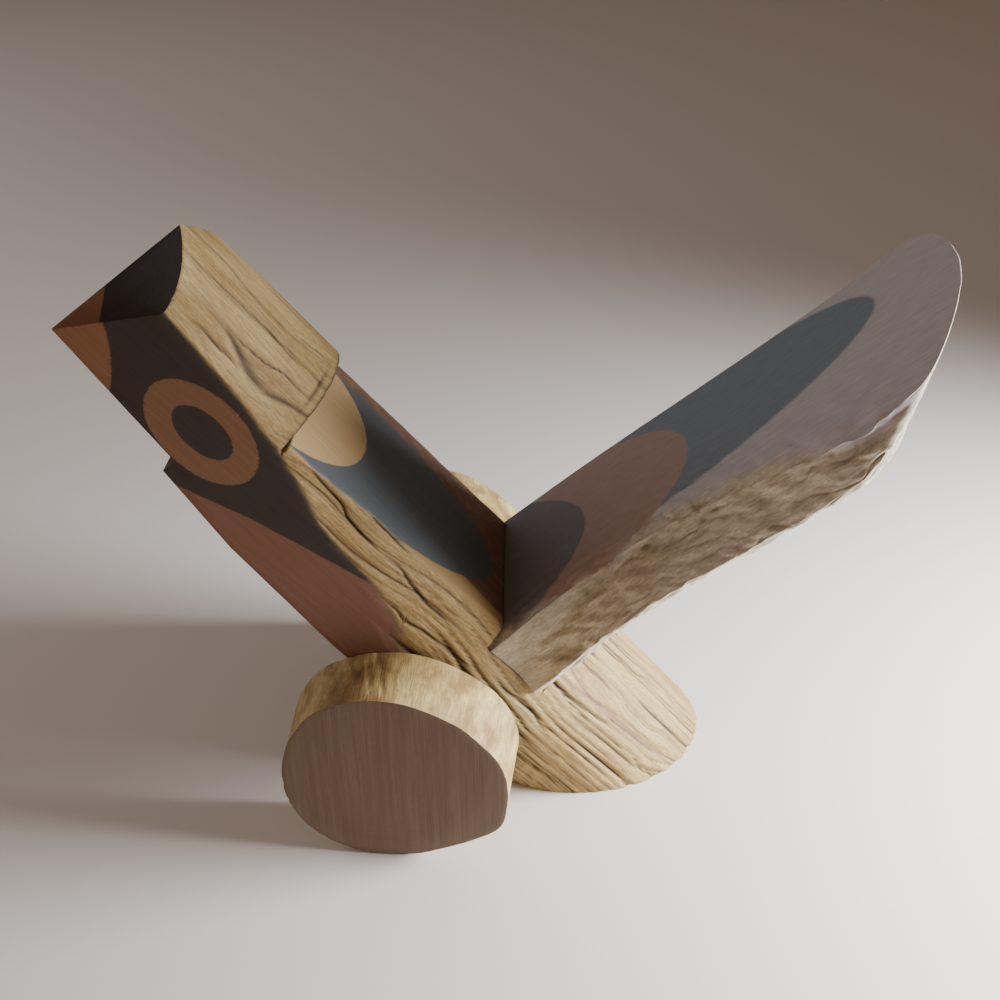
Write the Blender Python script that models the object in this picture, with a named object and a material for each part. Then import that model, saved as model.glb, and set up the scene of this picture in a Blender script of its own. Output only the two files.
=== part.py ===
"""Rustic log aeroplane: a leaning sawn log as fuselage, one upright blade of split log, two log-slice wheels.

Metres, +Z up. X runs from the nose (-X) to the foot (+X), Y across the wheels, and Z = 0 is the floor.
The origin is the middle of the whole object's box, on the floor.
"""

from math import copysign, cos, exp, pi, radians, sin, sqrt

import bpy
import numpy as np
from mathutils import Matrix, Vector

MM = 0.001
GAP = 0.3  # clearance between touching pieces, mm

# Fuselage log, mm. Its own side view has u along the log, nose to foot, and m out of its back.
LOG_LEAN = radians(51.0)  # slope of the side view's u below the horizontal
LOG_MID = (-33.4, 0.0, 70.0)  # where u = m = 0
LOG_RADIUS = (32.2, 33.0)  # at u = -100 and u = +100
LOG_ACROSS = (-9.9, 9.5)  # the core's Y at the same two stations
LOG_DEPTH = (4.2, -1.8)  # the core's m at the same two stations
LOG_ENDS = (-170.0, 165.0)  # untrimmed ends, u
LOG_SWELL = (0.13, radians(209), radians(22), 0.0, 65.0)  # share, direction, spread, and the u it fades between
SIDE_FACE_Y = -34.2  # sawn flat that carries the roundel
WHEEL_SEAT_Y = 34.0  # spot face for the right wheel
BELLY = [(-200, 8.7), (-86, -3.7), (-86, -8.6), (-57, -13.0), (0, -15.8), (150, -23.0)]  # sawn belly, (u, m)
NOSE_TIP = Vector((-115.4, -34.2, 173.4))
NOSE_RIDGE = Vector((-85.7, -14.3, 193.1))  # far end of the ridge between the two nose facets
NOSE_SHOULDER = Vector((-83.9, -34.2, 179.2))
NOSE_BACK = Vector((-82.4, -3.9, 187.4))
STEP_U = -71.6  # saw cut that ends the nose block
SADDLE_M = 23.6  # sunk painted flat behind the step
KERF = (1.1, 2.0)  # width and extra depth of the stop cut

# Wing blade, mm. s runs up the blade, w across it from the near arris, n out of the painted face.
BLADE_ROOT = Vector((-7.4, -26.0, 66.2))
BLADE_SLOPE = radians(42.0)
BLADE_ROLL = radians(4.6)  # lift of the far edge
BLADE_SEAT = -1.8  # floor of the notch, s
BLADE_DEPTH = 27.0  # thickness of the blade in the notch
# Stations up the blade: s, far edge w, near arris w, bulge beyond the arris, edge and middle thickness
BLADE_STATIONS = [
    (-1.5, 52.5, 0.0, 8.5, 21.0, 26.0),
    (30.0, 54.0, 5.5, 13.0, 20.5, 26.0),
    (60.0, 54.5, 7.5, 15.5, 20.0, 26.0),
    (100.0, 54.3, 1.0, 11.0, 19.5, 24.0),
    (120.0, 54.3, -3.5, 8.0, 17.0, 21.5),
    (133.0, 54.0, -4.5, 5.0, 11.0, 17.5),
    (141.0, 54.7, -3.0, 2.0, 6.0, 13.5),
    (148.0, 56.0, -1.5, 0.3, 1.6, 10.5),
    (153.0, 56.8, 5.3, 0.0, 1.2, 8.5),
    (158.0, 56.8, 12.8, 0.0, 1.2, 6.0),
    (162.5, 54.2, 21.2, 0.0, 1.2, 3.8),
    (165.5, 50.0, 28.8, 0.0, 1.2, 2.2),
    (167.0, 43.5, 35.5, 0.0, 1.0, 1.2),
]

# Wheels, mm
LEFT_WHEEL = (-33.7, 35.0, 35.1)  # X, Z and radius
RIGHT_WHEEL = (-33.4, 39.0, 39.0)
WHEEL_FACES = (-54.0, -34.5)  # outer and inner face of the left wheel, Y
RIGHT_FACES = (34.3, 54.0)
WHEEL_LOBES = ((2, 0.0155, -1.27), (3, 0.0236, 0.24))  # order, share of the radius and phase

# Hidden dowels, mm
WHEEL_DOWEL = (-25.4, 48.0, 5.0, 46.2)  # X, Z, radius and half length
WING_DOWELS = ((15.0, -9.5), (36.0, -9.5))  # (w, n) of each axis
WING_DOWEL = (4.0, 12.0, 18.0)  # radius, and reach into the log and into the blade from the notch floor


def material(name, colour, roughness):
    """Principled finish from an sRGB hex colour."""
    rgb = [int(colour[i : i + 2], 16) / 255 for i in (0, 2, 4)]
    linear = [c / 12.92 if c <= 0.04045 else ((c + 0.055) / 1.055) ** 2.4 for c in rgb]
    made = bpy.data.materials.new(name)
    made.use_nodes = True
    shader = made.node_tree.nodes["Principled BSDF"]
    shader.inputs["Base Color"].default_value = (*linear, 1)
    shader.inputs["Roughness"].default_value = roughness
    made.diffuse_color = (*linear, 1)
    return made


def add_object(name, points, faces, finish=None):
    """Mesh object from points in mm."""
    mesh = bpy.data.meshes.new(name)
    mesh.from_pydata([tuple(MM * c for c in p) for p in points], [], faces)
    mesh.validate()
    made = bpy.data.objects.new(name, mesh)
    bpy.context.scene.collection.objects.link(made)
    if finish:
        mesh.materials.append(finish)
        mesh.shade_smooth()
        mesh.set_sharp_from_angle(angle=radians(35))
    return made


def loft(name, rings, finish=None):
    """Closed solid through rings of equally many points, capped at both ends, turned to face out."""
    count = len(rings[0])
    points = [p for ring in rings for p in ring]
    faces = [tuple(range(count)), tuple(reversed(range(len(points) - count, len(points))))]
    for k in range(len(rings) - 1):
        a = k * count
        for i in range(count):
            j = (i + 1) % count
            faces.append((a + j, a + i, a + count + i, a + count + j))
    corners = np.array(points, float)
    centre = corners.mean(axis=0)
    volume = 0.0
    for face in faces:
        for i in range(1, len(face) - 1):
            p, q, r = (corners[face[k]] - centre for k in (0, i, i + 1))
            volume += np.dot(p, np.cross(q, r))
    if volume < 0:
        faces = [tuple(reversed(face)) for face in faces]
    return add_object(name, points, faces, finish)


def cut(target, cutter, kind="DIFFERENCE"):
    """Live Boolean with a hidden cutter."""
    cutter.hide_render = True
    cutter.display_type = "WIRE"
    cutter.hide_set(True)
    step = target.modifiers.new(cutter.name, "BOOLEAN")
    step.operation = kind
    step.solver = "EXACT"
    step.object = cutter


def side_view(u, m, y=0.0):
    """Point of the log's side view, at a given Y."""
    x = LOG_MID[0] + u * cos(LOG_LEAN) + m * sin(LOG_LEAN)
    z = LOG_MID[2] - u * sin(LOG_LEAN) + m * cos(LOG_LEAN)
    return (x, y, z)


def along_log(pair, u):
    """Value at station u of something given at u = -100 and u = +100."""
    return pair[0] + (pair[1] - pair[0]) * (u + 100) / 200


def prism(name, outline, low=-90.0, high=90.0):
    """Side-view outline carried straight across, from one Y to another."""
    return loft(name, [[side_view(u, m, y) for u, m in outline] for y in (low, high)])


def half_space(name, a, b, c, outward, size=260.0):
    """Block whose one face lies in the plane of three points and which fills the side towards outward."""
    normal = (b - a).cross(c - a).normalized()
    if normal.dot(outward) < 0:
        normal.negate()
    across = (b - a).normalized()
    up = normal.cross(across)
    corners = [(-1, -1), (1, -1), (1, 1), (-1, 1)]
    rings = [[a + (i * across + j * up) * size + normal * lift for i, j in corners] for lift in (0.0, size)]
    return loft(name, rings)


def round_bar(name, start, end, radius, sides=32, finish=None):
    """Straight round bar between two points."""
    start, end = Vector(start), Vector(end)
    along = (end - start).normalized()
    across = along.cross(Vector((0.3, 0.5, 0.8))).normalized()
    up = along.cross(across)
    turns = [2 * pi * i / sides for i in range(sides)]
    rings = [[p + radius * (cos(t) * across + sin(t) * up) for t in turns] for p in (start, end)]
    return loft(name, rings, finish)


def blade_frame():
    """Directions of s, w and n."""
    along = Vector((cos(BLADE_SLOPE), 0, sin(BLADE_SLOPE)))
    level = Vector((0, 1, 0))
    across = Matrix.Rotation(BLADE_ROLL, 3, along) @ level
    return along, across, along.cross(across)


def on_blade(s, w, n):
    """Point in blade coordinates."""
    along, across, out = blade_frame()
    return BLADE_ROOT + float(s) * along + float(w) * across + float(n) * out


def make_fuselage(finish):
    turns = [2 * pi * i / 56 for i in range(56)]
    rings = []
    for u in np.linspace(*LOG_ENDS, 11):
        radius, across, depth = (along_log(pair, u) for pair in (LOG_RADIUS, LOG_ACROSS, LOG_DEPTH))
        swell, centre, spread, full, gone = LOG_SWELL
        swell *= min(1.0, max(0.0, (gone - u) / (gone - full)))
        reach = [radius * (1 + swell * exp(-(((t - centre) / spread) ** 2))) for t in turns]
        rings.append([side_view(u, depth + r * sin(t), across + r * cos(t)) for r, t in zip(reach, turns)])
    log = loft("fuselage_log", rings, finish)

    belly = [(-200, -90)] + BELLY + [(150, -90)]
    cut(log, prism("belly_cut", belly))
    kerf_end = STEP_U + KERF[0]
    kerf_floor = SADDLE_M - KERF[1]
    saddle = [(STEP_U, 80), (STEP_U, kerf_floor), (kerf_end, kerf_floor), (kerf_end, SADDLE_M)]
    saddle += [(20, SADDLE_M), (20, 80)]
    cut(log, prism("saddle_cut", saddle))
    cut(log, half_space("floor_cut", Vector((0, 0, 0)), Vector((1, 0, 0)), Vector((0, 1, 0)), Vector((0, 0, -1))))
    side = Vector((0, SIDE_FACE_Y, 0))
    cut(log, half_space("side_cut", side, side + Vector((1, 0, 0)), side + Vector((0, 0, 1)), Vector((0, -1, 0))))
    cut(log, half_space("near_facet_cut", NOSE_TIP, NOSE_RIDGE, NOSE_SHOULDER, Vector((0, 0, 1))))
    cut(log, half_space("far_facet_cut", NOSE_TIP, NOSE_RIDGE, NOSE_BACK, Vector((-1, 0, 1))))
    notch = [(-90, GAP), (90, GAP), (90, -BLADE_DEPTH - GAP), (-90, -BLADE_DEPTH - GAP)]
    cut(log, loft("notch_cut", [[on_blade(s, w, n) for w, n in notch] for s in (BLADE_SEAT, 90)]))
    x, z, radius = RIGHT_WHEEL
    cut(log, round_bar("seat_cut", (x, WHEEL_SEAT_Y, z), (x, 80, z), radius + 2, 64))
    x, z, radius, _ = WHEEL_DOWEL
    cut(log, round_bar("axle_hole_cut", (x, -80, z), (x, 80, z), radius + GAP))
    for k, (w, n) in enumerate(WING_DOWELS):
        deep = on_blade(BLADE_SEAT - WING_DOWEL[1] - 1, w, n)
        cut(log, round_bar(f"log_pin_hole_{k + 1}_cut", deep, on_blade(40, w, n), WING_DOWEL[0] + GAP))
    return log


def blade_section(s, far, near, bulge, edge, middle):
    """Ring of the blade at station s: the flat painted face, then the bowed back from far edge to near edge."""
    ring = [on_blade(s, w, 0) for w in np.linspace(near, far, 7)]
    for i in range(1, 20):
        turn = pi * i / 20
        across = copysign(sqrt(abs(cos(turn))), cos(turn))
        nearness = (1 - across) / 2
        w = far + (near - far) * nearness - bulge * nearness**4 * min(1.0, 2.2 * sin(turn))
        depth = edge * sqrt(sin(turn)) + (middle - edge) * sin(turn) ** 2
        ring.append(on_blade(s, w, -depth))
    return ring


def make_blade(finish):
    blade = loft("wing_blade", [blade_section(*station) for station in BLADE_STATIONS], finish)
    for k, (w, n) in enumerate(WING_DOWELS):
        top = on_blade(BLADE_SEAT + WING_DOWEL[2] + 1, w, n)
        cut(blade, round_bar(f"blade_pin_hole_{k + 1}_cut", on_blade(-20, w, n), top, WING_DOWEL[0] + GAP))
    return blade


def make_wheel(name, wheel, faces, finish):
    x, z, radius = wheel
    turns = [2 * pi * i / 64 for i in range(64)]
    shape = [1 + sum(share * cos(order * t + phase) for order, share, phase in WHEEL_LOBES) for t in turns]
    low, high = faces
    levels = [(low, 0.985), (low + 0.6, 1.0), (high - 0.6, 1.0), (high, 0.985)]
    drop = min(radius * f * sin(t) for f, t in zip(shape, turns)) + z
    rings = [
        [(x + k * radius * f * cos(t), y, z - drop + k * radius * f * sin(t)) for f, t in zip(shape, turns)]
        for y, k in levels
    ]
    made = loft(name, rings, finish)
    hole_x, hole_z, hole_radius, reach = WHEEL_DOWEL
    inner = low if low > 0 else high
    bottom = (reach + 0.4) * (1 if low > 0 else -1)
    outside = inner - 20 if low > 0 else inner + 20
    cut(made, round_bar(f"{name}_hole_cut", (hole_x, bottom, hole_z), (hole_x, outside, hole_z), hole_radius + GAP))
    return made


def main():
    for old in list(bpy.data.objects):
        bpy.data.objects.remove(old, do_unlink=True)
    bark_free = material("debarked log", "B69A6C", 0.7)
    raw_slice = material("sawn end grain", "86735C", 0.8)
    dowel_wood = material("beech dowel", "C9A877", 0.6)

    make_fuselage(bark_free)
    make_blade(bark_free)
    make_wheel("left_wheel", LEFT_WHEEL, WHEEL_FACES, raw_slice)
    make_wheel("right_wheel", RIGHT_WHEEL, RIGHT_FACES, raw_slice)

    x, z, radius, reach = WHEEL_DOWEL
    round_bar("wheel_dowel", (x, -reach, z), (x, reach, z), radius, finish=dowel_wood)
    for name, (w, n) in zip(("wing_dowel_near", "wing_dowel_far"), WING_DOWELS):
        ends = [on_blade(BLADE_SEAT + reach, w, n) for reach in (-WING_DOWEL[1], WING_DOWEL[2])]
        round_bar(name, *ends, WING_DOWEL[0], 24, dowel_wood)


main()
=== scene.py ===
import bmesh
import bpy
import numpy as np
from mathutils import Matrix, Vector


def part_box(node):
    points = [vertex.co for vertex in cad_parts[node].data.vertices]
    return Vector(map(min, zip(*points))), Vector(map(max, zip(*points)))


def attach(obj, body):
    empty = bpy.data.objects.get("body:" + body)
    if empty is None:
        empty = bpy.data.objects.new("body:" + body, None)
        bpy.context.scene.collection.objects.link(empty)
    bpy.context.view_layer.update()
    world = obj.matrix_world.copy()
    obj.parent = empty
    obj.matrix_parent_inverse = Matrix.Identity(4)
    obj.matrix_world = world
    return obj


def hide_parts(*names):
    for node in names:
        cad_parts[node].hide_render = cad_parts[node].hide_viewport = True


print("loading the frame")
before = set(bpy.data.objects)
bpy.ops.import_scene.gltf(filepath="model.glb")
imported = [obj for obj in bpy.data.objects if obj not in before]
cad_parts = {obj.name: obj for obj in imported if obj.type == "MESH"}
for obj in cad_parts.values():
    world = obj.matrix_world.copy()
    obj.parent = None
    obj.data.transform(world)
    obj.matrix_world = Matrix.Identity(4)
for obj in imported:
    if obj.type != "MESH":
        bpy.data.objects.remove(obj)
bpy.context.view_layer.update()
mm = 0.001  # Blender works in metres


def toLinear(hexColour):
    # sRGB hex to linear RGBA
    channels = [int(hexColour[i:i + 2], 16) / 255 for i in (0, 2, 4)]
    linear = [c / 12.92 if c <= 0.04045 else ((c + 0.055) / 1.055) ** 2.4 for c in channels]
    return (*linear, 1.0)


def addNode(tree, kind, inputs=None, **settings):
    # adds a node with its settings; a socket in inputs is linked, anything else is set
    node = tree.nodes.new(kind)
    for name, value in settings.items():
        setattr(node, name, value)
    for name, value in (inputs or {}).items():
        if isinstance(value, bpy.types.NodeSocket):
            tree.links.new(value, node.inputs[name])
        else:
            node.inputs[name].default_value = value
    return node


def newFinish(name, roughness):
    # empty finish: its node tree and its Principled shader
    finish = bpy.data.materials.new(name)
    finish.use_nodes = True
    shader = finish.node_tree.nodes["Principled BSDF"]
    shader.inputs["Roughness"].default_value = roughness
    shader.inputs["IOR"].default_value = 1.5
    shader.inputs["Specular IOR Level"].default_value = 0.22
    return finish, finish.node_tree, shader


def newPiece(name, points, faces, finishes=(), slots=None):
    # mesh object from points in mm; slots gives each face's finish
    mesh = bpy.data.meshes.new(name)
    mesh.from_pydata((np.asarray(points) * mm).tolist(), [], faces)
    for finish in finishes:
        mesh.materials.append(finish)
    if slots is not None:
        mesh.polygons.foreach_set("material_index", np.asarray(slots, np.int32))
    mesh.update()
    piece = bpy.data.objects.new(name, mesh)
    bpy.context.scene.collection.objects.link(piece)
    return piece


def gridFaces(rows, columns):
    # quads of a grid whose columns close on themselves
    row, column = np.meshgrid(np.arange(rows - 1), np.arange(columns), indexing="ij")
    a = row * columns + column
    b = row * columns + (column + 1) % columns
    return np.stack([a, b, b + columns, a + columns], axis=-1).reshape(-1, 4)


def pointsOf(mesh):
    # every vertex as an array, in mm
    flat = np.empty(len(mesh.vertices) * 3, np.float32)
    mesh.vertices.foreach_get("co", flat)
    return flat.reshape(-1, 3).astype(float) / mm


def setAttribute(mesh, name, values):
    # one number for each vertex, for a finish to read
    layer = mesh.attributes.new(name, "FLOAT", "POINT")
    layer.data.foreach_set("value", np.asarray(values, np.float32))


def faceOutward(mesh):
    # turns the faces of a closed mesh outward
    shape = bmesh.new()
    shape.from_mesh(mesh)
    bmesh.ops.recalc_face_normals(shape, faces=shape.faces)
    shape.to_mesh(mesh)
    shape.free()


def softNoise(x, y, seed, around=None):
    # random lattice blended by 6t^5 - 15t^4 + 10t^3, 0 to 1; around closes it after that many cells of y
    table = np.random.default_rng(seed).random((256, 256))
    i, j = np.floor(x).astype(int), np.floor(y).astype(int)
    fx, fy = x - i, y - j
    bx = fx ** 3 * (fx * (fx * 6 - 15) + 10)
    by = fy ** 3 * (fy * (fy * 6 - 15) + 10)
    low, high = (j % around, (j + 1) % around) if around else (j % 256, (j + 1) % 256)
    here, there = i % 256, (i + 1) % 256
    near = table[here, low] * (1 - by) + table[here, high] * by
    far = table[there, low] * (1 - by) + table[there, high] * by
    return near * (1 - bx) + far * bx


def softMin(a, b, reach):
    # lower of two fields, rounded where they cross: min - reach/4 * max(0, 1 - |a - b| / reach)^2
    return np.minimum(a, b) - reach / 4 * np.maximum(0, 1 - np.abs(a - b) / reach) ** 2


def smoothThrough(x, stations, values):
    # cubic Hermite curve through the stations, with slopes from their neighbours
    stations, values = np.asarray(stations, float), np.asarray(values, float)
    slopes = np.gradient(values, stations)
    k = np.clip(np.searchsorted(stations, x) - 1, 0, len(stations) - 2)
    step = stations[k + 1] - stations[k]
    t = (x - stations[k]) / step
    start = (2 * t ** 3 - 3 * t ** 2 + 1) * values[k] + (t ** 3 - 2 * t ** 2 + t) * step * slopes[k]
    end = (3 * t ** 2 - 2 * t ** 3) * values[k + 1] + (t ** 3 - t ** 2) * step * slopes[k + 1]
    return start + end


def ellipseEdge(x, y, shape):
    # distance to an ellipse, below 0 inside: k (k - 1) / |gradient|, true near its edge
    (cx, cy), (a, b), tilt = shape
    turn = np.radians(tilt)
    p = (x - cx) * np.cos(turn) + (y - cy) * np.sin(turn)
    q = (y - cy) * np.cos(turn) - (x - cx) * np.sin(turn)
    k = np.hypot(p / a, q / b)
    return k * (k - 1) / np.maximum(np.hypot(p / a ** 2, q / b ** 2), 1e-6)


def cutWith(piece, cutters):
    # exact Booleans whose cut faces take the cutters' finish, then the cutters go
    for cutter in cutters:
        step = piece.modifiers.new(cutter.name, "BOOLEAN")
        step.operation = "DIFFERENCE"
        step.solver = "EXACT"
        step.material_mode = "TRANSFER"
        step.object = cutter
    graph = bpy.context.evaluated_depsgraph_get()
    mesh = bpy.data.meshes.new_from_object(piece.evaluated_get(graph))
    piece.modifiers.clear()
    piece.data = mesh
    for cutter in cutters:
        bpy.data.objects.remove(cutter, do_unlink=True)


def pinHole(node, finish, growth=0.45):
    # cutter from a packed dowel, each point moved out from the middle by growth mm
    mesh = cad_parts[node].data.copy()
    grown = bmesh.new()
    grown.from_mesh(mesh)
    bmesh.ops.remove_doubles(grown, verts=grown.verts, dist=1e-5)
    middle = sum((v.co for v in grown.verts), Vector()) / len(grown.verts)
    for v in grown.verts:
        v.co += (v.co - middle).normalized() * growth * mm
    grown.to_mesh(mesh)
    grown.free()
    mesh.materials.clear()
    mesh.materials.append(finish)
    cutter = bpy.data.objects.new(node + "Hole", mesh)
    bpy.context.scene.collection.objects.link(cutter)
    return cutter


def block(name, corners, finish):
    # closed box from its lower four and upper four corners
    faces = [(0, 3, 2, 1), (4, 5, 6, 7), (0, 1, 5, 4), (1, 2, 6, 5), (2, 3, 7, 6), (3, 0, 4, 7)]
    cutter = newPiece(name, corners, faces, [finish])
    faceOutward(cutter.data)
    return cutter


def disk(name, x, z, radius, ends, finish, sides=96):
    # closed cylinder along Y between its two ends
    turn = 2 * np.pi * np.arange(sides) / sides
    rings = [np.stack([x + radius * np.cos(turn), 0 * turn + y, z + radius * np.sin(turn)], -1) for y in ends]
    caps = [tuple(range(sides)), tuple(range(2 * sides - 1, sides - 1, -1))]
    faces = gridFaces(2, sides)[:, ::-1].tolist() + caps
    cutter = newPiece(name, np.concatenate(rings), faces, [finish])
    faceOutward(cutter.data)
    return cutter


# Bare hardwood, in sRGB, and the dark colour of the painted shade in its grooves and cracks
woodTones = {
    "pale": "B39A68", "mid": "987C4C", "deep": "705533", "grooveShade": "33241A",
    "fibre": (16.0, 0.5),  # length and width of a fibre streak, mm
    "blotch": (30.0, 9.0),  # length and width of a colour change, mm
}


def grainCoordinates(tree, place, turn, length, width):
    # Object coordinates turned so X runs along the grain, in units of a streak's length and width
    source = addNode(tree, "ShaderNodeTexCoord")
    return addNode(tree, "ShaderNodeMapping", {
        "Vector": source.outputs["Object"], "Location": [c * mm for c in place],
        "Rotation": [np.radians(a) for a in turn], "Scale": (length * mm, width * mm, width * mm),
    }, vector_type="TEXTURE").outputs[0]


def woodColour(tree, place, turn, tones):
    # streaked wood colour: fibres over slow blotches, with painted shade in the grooves and cracks; gives
    # colour and fibre sockets
    fibres = addNode(tree, "ShaderNodeTexNoise", {
        "Vector": grainCoordinates(tree, place, turn, *tones["fibre"]), "Scale": 1.0,
        "Detail": 6.0, "Roughness": 0.62, "Distortion": 0.25})
    blotches = addNode(tree, "ShaderNodeTexNoise", {
        "Vector": grainCoordinates(tree, place, turn, *tones["blotch"]), "Scale": 1.0,
        "Detail": 3.0, "Roughness": 0.5})
    fibreShare = addNode(tree, "ShaderNodeMapRange", {
        "Value": fibres.outputs["Fac"], "From Min": 0.36, "From Max": 0.66}, interpolation_type="SMOOTHSTEP")
    blotchShare = addNode(tree, "ShaderNodeMapRange", {
        "Value": blotches.outputs["Fac"], "From Min": 0.35, "From Max": 0.7, "To Max": 0.85},
        interpolation_type="SMOOTHSTEP")
    base = addNode(tree, "ShaderNodeMix", {
        0: blotchShare.outputs[0], 6: toLinear(tones["pale"]), 7: toLinear(tones["mid"])}, data_type="RGBA")
    streaked = addNode(tree, "ShaderNodeMix", {
        0: fibreShare.outputs[0], 6: toLinear(tones["deep"]), 7: base.outputs[2]}, data_type="RGBA")
    softened = addNode(tree, "ShaderNodeMix", {
        0: 0.3, 6: base.outputs[2], 7: streaked.outputs[2]}, data_type="RGBA")
    # pores and dust, half a millimetre across
    poreNoise = addNode(tree, "ShaderNodeTexNoise", {
        "Vector": grainCoordinates(tree, place, turn, 1.6, 0.5), "Scale": 1.0,
        "Detail": 4.0, "Roughness": 0.7})
    pores = addNode(tree, "ShaderNodeMapRange", {
        "Value": poreNoise.outputs["Fac"], "From Min": 0.3, "From Max": 0.6, "To Min": 0.74, "To Max": 1.05})
    speckled = addNode(tree, "ShaderNodeVectorMath", {
        0: softened.outputs[2], "Scale": pores.outputs[0]}, operation="SCALE")
    # painted shade: how dark each vertex's groove, crack or saw line is shaded
    grooveShade = addNode(tree, "ShaderNodeAttribute", attribute_name="grooveShade")
    colour = addNode(tree, "ShaderNodeMix", {
        0: grooveShade.outputs["Fac"], 6: speckled.outputs[0], 7: toLinear(tones["grooveShade"])}, data_type="RGBA")
    return colour.outputs[2], fibres.outputs["Fac"]


def debarkedWood(name, place, turn, tones=woodTones):
    # debarked hardwood, dried and lightly sanded: dull, fibres raised, painted shade in the grooves
    finish, tree, shader = newFinish(name, 0.62)
    colour, fibres = woodColour(tree, place, turn, tones)
    raised = addNode(tree, "ShaderNodeBump", {
        "Height": fibres, "Strength": 0.55, "Distance": 0.35 * mm})
    gloss = addNode(tree, "ShaderNodeMapRange", {
        "Value": fibres, "From Min": 0.3, "From Max": 0.7, "To Min": 0.74, "To Max": 0.52})
    tree.links.new(colour, shader.inputs["Base Color"])
    tree.links.new(gloss.outputs[0], shader.inputs["Roughness"])
    tree.links.new(raised.outputs[0], shader.inputs["Normal"])
    return finish


def flatPaint(name, place, turn, base, shapes, tones=woodTones):
    # matt emulsion brushed thinly on wood: fibres show through a little, edges wobble as a hand paints them.
    # base is an sRGB colour, or None for bare wood; the shapes are painted over it in order, and each is
    # (attribute, sRGB colour or None for bare wood, softness in mm, wobble in mm)
    finish, tree, shader = newFinish(name, 0.65)
    wood, fibres = woodColour(tree, place, turn, tones)
    wobble = addNode(tree, "ShaderNodeTexNoise", {
        "Vector": grainCoordinates(tree, place, turn, 5.0, 3.0), "Scale": 1.0,
        "Detail": 4.0, "Roughness": 0.6})
    scuffNoise = addNode(tree, "ShaderNodeTexNoise", {
        "Vector": grainCoordinates(tree, place, turn, 16.0, 2.2), "Scale": 1.0,
        "Detail": 8.0, "Roughness": 0.7})
    # coverage goes from 0 on bare wood to 1 under paint
    colour, coverage = (wood, 0.0) if base is None else (toLinear(base), 1.0)
    for attribute, hexColour, softness, wander in shapes:
        edge = addNode(tree, "ShaderNodeAttribute", attribute_name=attribute)
        moved = addNode(tree, "ShaderNodeMath", {
            0: wobble.outputs["Fac"], 1: wander, 2: edge.outputs["Fac"]}, operation="MULTIPLY_ADD")
        inside = addNode(tree, "ShaderNodeMapRange", {
            "Value": moved.outputs[0], "From Min": wander / 2 + softness / 2,
            "From Max": wander / 2 - softness / 2}, interpolation_type="SMOOTHSTEP").outputs[0]
        top, topCoverage = (wood, 0.0) if hexColour is None else (toLinear(hexColour), 1.0)
        layer = addNode(tree, "ShaderNodeMix", {0: inside, 6: colour, 7: top}, data_type="RGBA")
        cover = addNode(tree, "ShaderNodeMix", {0: inside, 2: coverage, 3: topCoverage}, data_type="FLOAT")
        colour, coverage = layer.outputs[2], cover.outputs[0]
    brush = addNode(tree, "ShaderNodeMapRange", {
        "Value": fibres, "From Min": 0.3, "From Max": 0.75, "To Min": 0.9, "To Max": 1.14})
    shaded = addNode(tree, "ShaderNodeVectorMath", {0: colour, "Scale": brush.outputs[0]}, operation="SCALE")
    scuffs = addNode(tree, "ShaderNodeMapRange", {
        "Value": scuffNoise.outputs["Fac"], "From Min": 0.64, "From Max": 0.8, "To Max": 0.35},
        interpolation_type="SMOOTHSTEP")
    worn = addNode(tree, "ShaderNodeMix", {
        0: scuffs.outputs[0], 6: shaded.outputs[0], 7: wood}, data_type="RGBA")
    tree.links.new(worn.outputs[2], shader.inputs["Base Color"])
    gloss = addNode(tree, "ShaderNodeMapRange", {
        "Value": scuffNoise.outputs["Fac"], "From Min": 0.3, "From Max": 0.7, "To Min": 0.56, "To Max": 0.72})
    tree.links.new(gloss.outputs[0], shader.inputs["Roughness"])
    height = addNode(tree, "ShaderNodeMapRange", {
        "Value": coverage, "From Min": 0.0, "From Max": 1.0, "To Min": 1.0, "To Max": 0.3})
    fibreHeight = addNode(tree, "ShaderNodeMath", {0: fibres, 1: height.outputs[0]}, operation="MULTIPLY")
    raised = addNode(tree, "ShaderNodeBump", {
        "Height": fibreHeight.outputs[0], "Strength": 0.5, "Distance": 0.35 * mm})
    tree.links.new(raised.outputs[0], shader.inputs["Normal"])
    return finish


def sawnWood(name, place, turn, tones):
    # crosscut or ripped wood straight off the saw: dull, rough, fine tooth lines across the cut
    finish, tree, shader = newFinish(name, 0.78)
    colour, fibres = woodColour(tree, place, turn, tones)
    teeth = addNode(tree, "ShaderNodeTexNoise", {
        "Vector": grainCoordinates(tree, place, turn, 18.0, 0.7), "Scale": 1.0, "Detail": 3.0})
    raised = addNode(tree, "ShaderNodeBump", {
        "Height": teeth.outputs["Fac"], "Strength": 0.5, "Distance": 0.3 * mm})
    tree.links.new(colour, shader.inputs["Base Color"])
    tree.links.new(raised.outputs[0], shader.inputs["Normal"])
    return finish


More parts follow.
